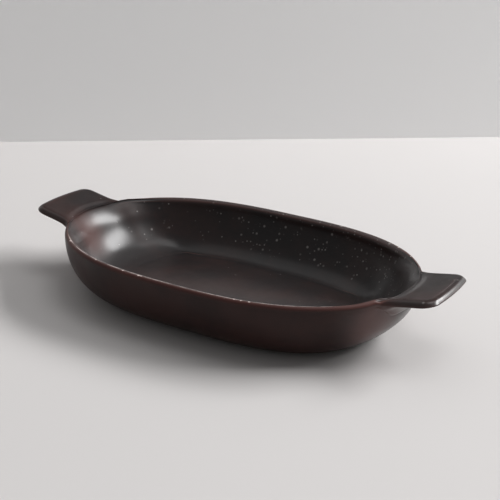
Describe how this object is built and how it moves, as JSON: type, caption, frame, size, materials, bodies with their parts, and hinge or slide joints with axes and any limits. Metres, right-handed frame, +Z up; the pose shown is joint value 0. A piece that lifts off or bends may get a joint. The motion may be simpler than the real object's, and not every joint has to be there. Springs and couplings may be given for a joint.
{
  "type": "eared dish",
  "caption": "Low oval serving and baking dish in dark glazed stoneware, with a flat tab-shaped ear at each end and a low foot ring.",
  "frame": {"origin": "middle of the dish, on the surface that the foot ring stands on", "axes": "+X along the dish from the left ear to the right ear, +Y across it, +Z up"},
  "size_m": [0.304, 0.1574, 0.0476],
  "materials": {
    "glaze": "satin-matt iron-brown glaze, near black inside, worn pale along the rim, with sparse pale specks",
    "bare_clay": "bare reddish-brown stoneware where the foot was wiped free of glaze"
  },
  "bodies": {
    "root": {"bowl": "glaze", "ear_left": "glaze", "ear_right": "glaze", "foot_ring": "bare_clay"}
  },
  "joints": []
}
